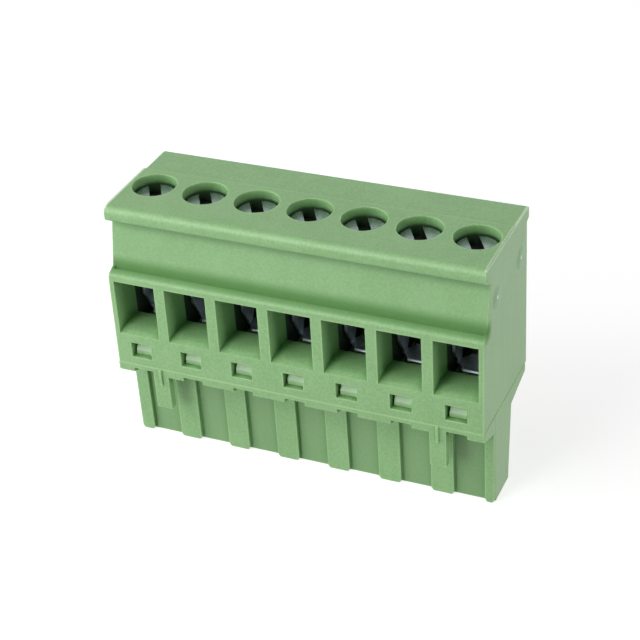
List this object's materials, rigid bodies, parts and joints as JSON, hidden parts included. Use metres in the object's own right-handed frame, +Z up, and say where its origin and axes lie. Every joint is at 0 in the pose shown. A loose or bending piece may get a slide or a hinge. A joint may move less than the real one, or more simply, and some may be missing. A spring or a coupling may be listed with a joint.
{
  "type": "pluggable terminal block",
  "caption": "Pluggable screw terminal plug: wires enter its side, slotted screws on top lift the clamp cages, and a ribbed nose with spring sockets takes a pin header.",
  "frame": {"origin": "on the middle of the pin row, level with the tip of the plug nose", "axes": "+X along the row of poles, -Y out of the wire entries, +Z up from the plug nose to the screw heads"},
  "size_m": [0.0356, 0.0126, 0.0252],
  "materials": {
    "housing_plastic": "satin moulded green polyamide",
    "base_plastic": "satin moulded green polyamide",
    "tinned_contact": "dull tin plate over a copper alloy strip",
    "clamp_steel": "bright zinc plate",
    "screw_steel": "pale zinc plate"
  },
  "bodies": {
    "housing_body": {"housing": "housing_plastic", "plug_base": "base_plastic", "contact_1": "tinned_contact", "contact_2": "tinned_contact", "contact_3": "tinned_contact", "contact_4": "tinned_contact", "contact_5": "tinned_contact", "contact_6": "tinned_contact", "contact_7": "tinned_contact"},
    "clamp_screw_1": {"clamp_screw_1": "screw_steel"},
    "clamp_cage_1": {"clamp_cage_1": "clamp_steel"},
    "clamp_screw_2": {"clamp_screw_2": "screw_steel"},
    "clamp_cage_2": {"clamp_cage_2": "clamp_steel"},
    "clamp_screw_3": {"clamp_screw_3": "screw_steel"},
    "clamp_cage_3": {"clamp_cage_3": "clamp_steel"},
    "clamp_screw_4": {"clamp_screw_4": "screw_steel"},
    "clamp_cage_4": {"clamp_cage_4": "clamp_steel"},
    "clamp_screw_5": {"clamp_screw_5": "screw_steel"},
    "clamp_cage_5": {"clamp_cage_5": "clamp_steel"},
    "clamp_screw_6": {"clamp_screw_6": "screw_steel"},
    "clamp_cage_6": {"clamp_cage_6": "clamp_steel"},
    "clamp_screw_7": {"clamp_screw_7": "screw_steel"},
    "clamp_cage_7": {"clamp_cage_7": "clamp_steel"}
  },
  "joints": [
    {"name": "screw_turn_1", "type": "hinge", "parent": "housing_body", "child": "clamp_screw_1", "pos_m": [-0.01524, 0.00145, 0.02423], "axis": [0, 0, -1], "range_deg": [0, 2089]},
    {"name": "screw_turn_2", "type": "hinge", "parent": "housing_body", "child": "clamp_screw_2", "pos_m": [-0.01016, 0.00145, 0.02423], "axis": [0, 0, -1], "range_deg": [0, 2089]},
    {"name": "screw_turn_3", "type": "hinge", "parent": "housing_body", "child": "clamp_screw_3", "pos_m": [-0.00508, 0.00145, 0.02423], "axis": [0, 0, -1], "range_deg": [0, 2089]},
    {"name": "screw_turn_4", "type": "hinge", "parent": "housing_body", "child": "clamp_screw_4", "pos_m": [0, 0.00145, 0.02423], "axis": [0, 0, -1], "range_deg": [0, 2089]},
    {"name": "screw_turn_5", "type": "hinge", "parent": "housing_body", "child": "clamp_screw_5", "pos_m": [0.00508, 0.00145, 0.02423], "axis": [0, 0, -1], "range_deg": [0, 2089]},
    {"name": "screw_turn_6", "type": "hinge", "parent": "housing_body", "child": "clamp_screw_6", "pos_m": [0.01016, 0.00145, 0.02423], "axis": [0, 0, -1], "range_deg": [0, 2089]},
    {"name": "screw_turn_7", "type": "hinge", "parent": "housing_body", "child": "clamp_screw_7", "pos_m": [0.01524, 0.00145, 0.02423], "axis": [0, 0, -1], "range_deg": [0, 2089]},
    {"name": "cage_lift_1", "type": "slide", "parent": "housing_body", "child": "clamp_cage_1", "axis": [0, 0, 1], "range_m": [0, 0.0029]},
    {"name": "cage_lift_2", "type": "slide", "parent": "housing_body", "child": "clamp_cage_2", "axis": [0, 0, 1], "range_m": [0, 0.0029]},
    {"name": "cage_lift_3", "type": "slide", "parent": "housing_body", "child": "clamp_cage_3", "axis": [0, 0, 1], "range_m": [0, 0.0029]},
    {"name": "cage_lift_4", "type": "slide", "parent": "housing_body", "child": "clamp_cage_4", "axis": [0, 0, 1], "range_m": [0, 0.0029]},
    {"name": "cage_lift_5", "type": "slide", "parent": "housing_body", "child": "clamp_cage_5", "axis": [0, 0, 1], "range_m": [0, 0.0029]},
    {"name": "cage_lift_6", "type": "slide", "parent": "housing_body", "child": "clamp_cage_6", "axis": [0, 0, 1], "range_m": [0, 0.0029]},
    {"name": "cage_lift_7", "type": "slide", "parent": "housing_body", "child": "clamp_cage_7", "axis": [0, 0, 1], "range_m": [0, 0.0029]}
  ],
  "couplings": [
    {"joint": "screw_turn_1", "follows": "cage_lift_1", "rad_per_m": 12566},
    {"joint": "screw_turn_2", "follows": "cage_lift_2", "rad_per_m": 12566},
    {"joint": "screw_turn_3", "follows": "cage_lift_3", "rad_per_m": 12566},
    {"joint": "screw_turn_4", "follows": "cage_lift_4", "rad_per_m": 12566},
    {"joint": "screw_turn_5", "follows": "cage_lift_5", "rad_per_m": 12566},
    {"joint": "screw_turn_6", "follows": "cage_lift_6", "rad_per_m": 12566},
    {"joint": "screw_turn_7", "follows": "cage_lift_7", "rad_per_m": 12566}
  ]
}
